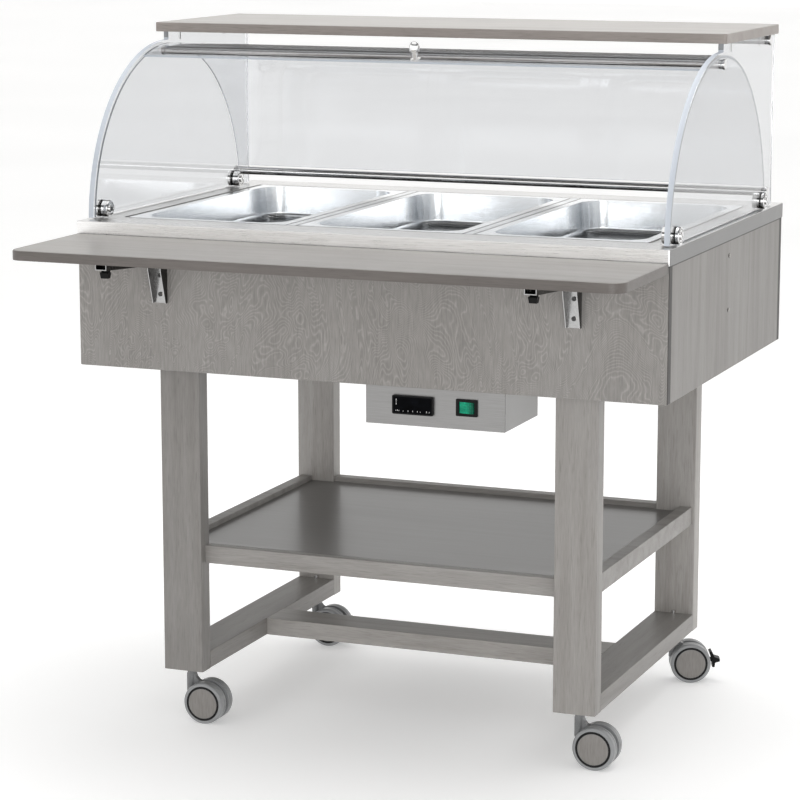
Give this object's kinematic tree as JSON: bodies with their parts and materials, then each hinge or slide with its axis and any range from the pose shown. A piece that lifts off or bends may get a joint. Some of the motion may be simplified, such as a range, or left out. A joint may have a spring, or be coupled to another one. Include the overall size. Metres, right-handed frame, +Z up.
{
  "type": "mobile steam table",
  "caption": "Wooden trolley with a heated well of food pans under a clear roll-top guard, a folding tray slide, a control box and swivel casters.",
  "frame": {"origin": "on the floor, under the middle of the bounding box", "axes": "+X along the table's length to the right of a person facing the controls, +Y to the back, +Z up"},
  "size_m": [1.14, 1.038, 1.31],
  "materials": {
    "stained_wood": "grey-stained open-grain wood, satin",
    "shelf_laminate": "smooth grey satin board",
    "brushed_steel": "brushed",
    "polished_steel": "polished",
    "zinc_steel": "bright zinc",
    "chrome": "polished",
    "clear_acrylic": "clear",
    "black_plastic": "satin black",
    "black_glass": "gloss black",
    "green_lens": "translucent green",
    "grey_plastic": "silver-grey",
    "white_plastic": "satin"
  },
  "bodies": {
    "trolley": {"leg_front_left": "stained_wood", "leg_front_right": "stained_wood", "leg_rear_left": "stained_wood", "leg_rear_right": "stained_wood", "bottom_rails": "stained_wood", "stretcher": "stained_wood", "lower_shelf_frame": "stained_wood", "apron_front": "stained_wood", "apron_rear": "stained_wood", "apron_left": "stained_wood", "apron_right": "stained_wood", "inner_battens": "stained_wood", "top_shelf": "stained_wood", "lower_shelf_board": "shelf_laminate", "screws_and_dowels": "zinc_steel", "clamp_bolts_and_nuts": "zinc_steel", "well_fittings": "zinc_steel", "heating_element": "zinc_steel", "caster_stems": "zinc_steel", "bracket_wall_left": "zinc_steel", "bracket_wall_right": "zinc_steel", "worktop": "brushed_steel", "well_casing": "brushed_steel", "control_box_shell": "brushed_steel", "control_box_front": "brushed_steel", "well_tank": "brushed_steel", "pan_divider_bars": "polished_steel", "panel_clamps": "chrome", "guard_rod_front_top": "chrome", "guard_rod_rear_top": "chrome", "guard_rod_rear_low": "chrome", "side_panel_left": "clear_acrylic", "side_panel_right": "clear_acrylic", "controller_body": "black_plastic", "rocker_bezel": "black_plastic", "cable_gland": "black_plastic", "controller_window": "black_glass", "switchgear": "white_plastic"},
    "roll_cover": {"roll_cover": "clear_acrylic", "cover_knob": "chrome"},
    "tray": {"tray_board": "stained_wood", "bracket_arm_left": "zinc_steel", "bracket_arm_right": "zinc_steel"},
    "release_lever_left": {"release_lever_left": "black_plastic"},
    "release_lever_right": {"release_lever_right": "black_plastic"},
    "pan_left": {"pan_left": "polished_steel"},
    "pan_centre": {"pan_centre": "polished_steel"},
    "pan_right": {"pan_right": "polished_steel"},
    "power_rocker": {"rocker_switch": "green_lens"},
    "caster_front_left": {"caster_hood_front_left": "grey_plastic"},
    "wheels_front_left": {"caster_wheels_front_left": "grey_plastic"},
    "caster_front_right": {"caster_hood_front_right": "grey_plastic"},
    "wheels_front_right": {"caster_wheels_front_right": "grey_plastic"},
    "caster_rear_left": {"caster_hood_rear_left": "grey_plastic"},
    "wheels_rear_left": {"caster_wheels_rear_left": "grey_plastic"},
    "caster_rear_right": {"caster_hood_rear_right": "grey_plastic"},
    "wheels_rear_right": {"caster_wheels_rear_right": "grey_plastic"},
    "pedal_rear_left": {"brake_pedal_rear_left": "black_plastic"},
    "pedal_rear_right": {"brake_pedal_rear_right": "black_plastic"}
  },
  "joints": [
    {"name": "cover_roll", "type": "hinge", "parent": "trolley", "child": "roll_cover", "pos_m": [0, 0.098, 0.95], "axis": [1, 0, 0], "range_deg": [0, 68]},
    {"name": "tray_fold", "type": "hinge", "parent": "trolley", "child": "tray", "pos_m": [0, -0.27, 0.9], "axis": [1, 0, 0], "range_deg": [0, 90]},
    {"name": "lever_press_left", "type": "hinge", "parent": "tray", "child": "release_lever_left", "pos_m": [-0.399, -0.459, 0.912], "axis": [1, 0, 0], "range_deg": [0, 10], "stiffness_Nm_per_rad": 0.3},
    {"name": "lever_press_right", "type": "hinge", "parent": "tray", "child": "release_lever_right", "pos_m": [0.399, -0.459, 0.912], "axis": [1, 0, 0], "range_deg": [0, 10], "stiffness_Nm_per_rad": 0.3},
    {"name": "pan_lift_left", "type": "slide", "parent": "trolley", "child": "pan_left", "axis": [0, 0, 1], "range_m": [0, 0.02]},
    {"name": "pan_lift_centre", "type": "slide", "parent": "trolley", "child": "pan_centre", "axis": [0, 0, 1], "range_m": [0, 0.02]},
    {"name": "pan_lift_right", "type": "slide", "parent": "trolley", "child": "pan_right", "axis": [0, 0, 1], "range_m": [0, 0.02]},
    {"name": "rocker_tilt", "type": "hinge", "parent": "trolley", "child": "power_rocker", "pos_m": [0.1925, -0.228, 0.657], "axis": [0, 0, 1], "range_deg": [0, 14]},
    {"name": "swivel_front_left", "type": "hinge", "parent": "trolley", "child": "caster_front_left", "pos_m": [-0.389, -0.168, 0.08], "axis": [0, 0, 1], "continuous": true},
    {"name": "roll_front_left", "type": "hinge", "parent": "caster_front_left", "child": "wheels_front_left", "pos_m": [-0.355, -0.168, 0.04], "axis": [0, 1, 0], "continuous": true},
    {"name": "swivel_front_right", "type": "hinge", "parent": "trolley", "child": "caster_front_right", "pos_m": [0.389, -0.168, 0.08], "axis": [0, 0, 1], "continuous": true},
    {"name": "roll_front_right", "type": "hinge", "parent": "caster_front_right", "child": "wheels_front_right", "pos_m": [0.423, -0.168, 0.04], "axis": [0, 1, 0], "continuous": true},
    {"name": "swivel_rear_left", "type": "hinge", "parent": "trolley", "child": "caster_rear_left", "pos_m": [-0.389, 0.43, 0.08], "axis": [0, 0, 1], "continuous": true},
    {"name": "roll_rear_left", "type": "hinge", "parent": "caster_rear_left", "child": "wheels_rear_left", "pos_m": [-0.355, 0.43, 0.04], "axis": [0, 1, 0], "continuous": true},
    {"name": "brake_rear_left", "type": "hinge", "parent": "caster_rear_left", "child": "pedal_rear_left", "pos_m": [-0.325, 0.43, 0.044], "axis": [0, 1, 0], "range_deg": [0, 18]},
    {"name": "swivel_rear_right", "type": "hinge", "parent": "trolley", "child": "caster_rear_right", "pos_m": [0.389, 0.43, 0.08], "axis": [0, 0, 1], "continuous": true},
    {"name": "roll_rear_right", "type": "hinge", "parent": "caster_rear_right", "child": "wheels_rear_right", "pos_m": [0.42059, 0.44257, 0.04], "axis": [-0.3697, 0.9291, 0], "continuous": true},
    {"name": "brake_rear_right", "type": "hinge", "parent": "caster_rear_right", "child": "pedal_rear_right", "pos_m": [0.44846, 0.45366, 0.044], "axis": [-0.3697, 0.9291, 0], "range_deg": [0, 18]}
  ]
}
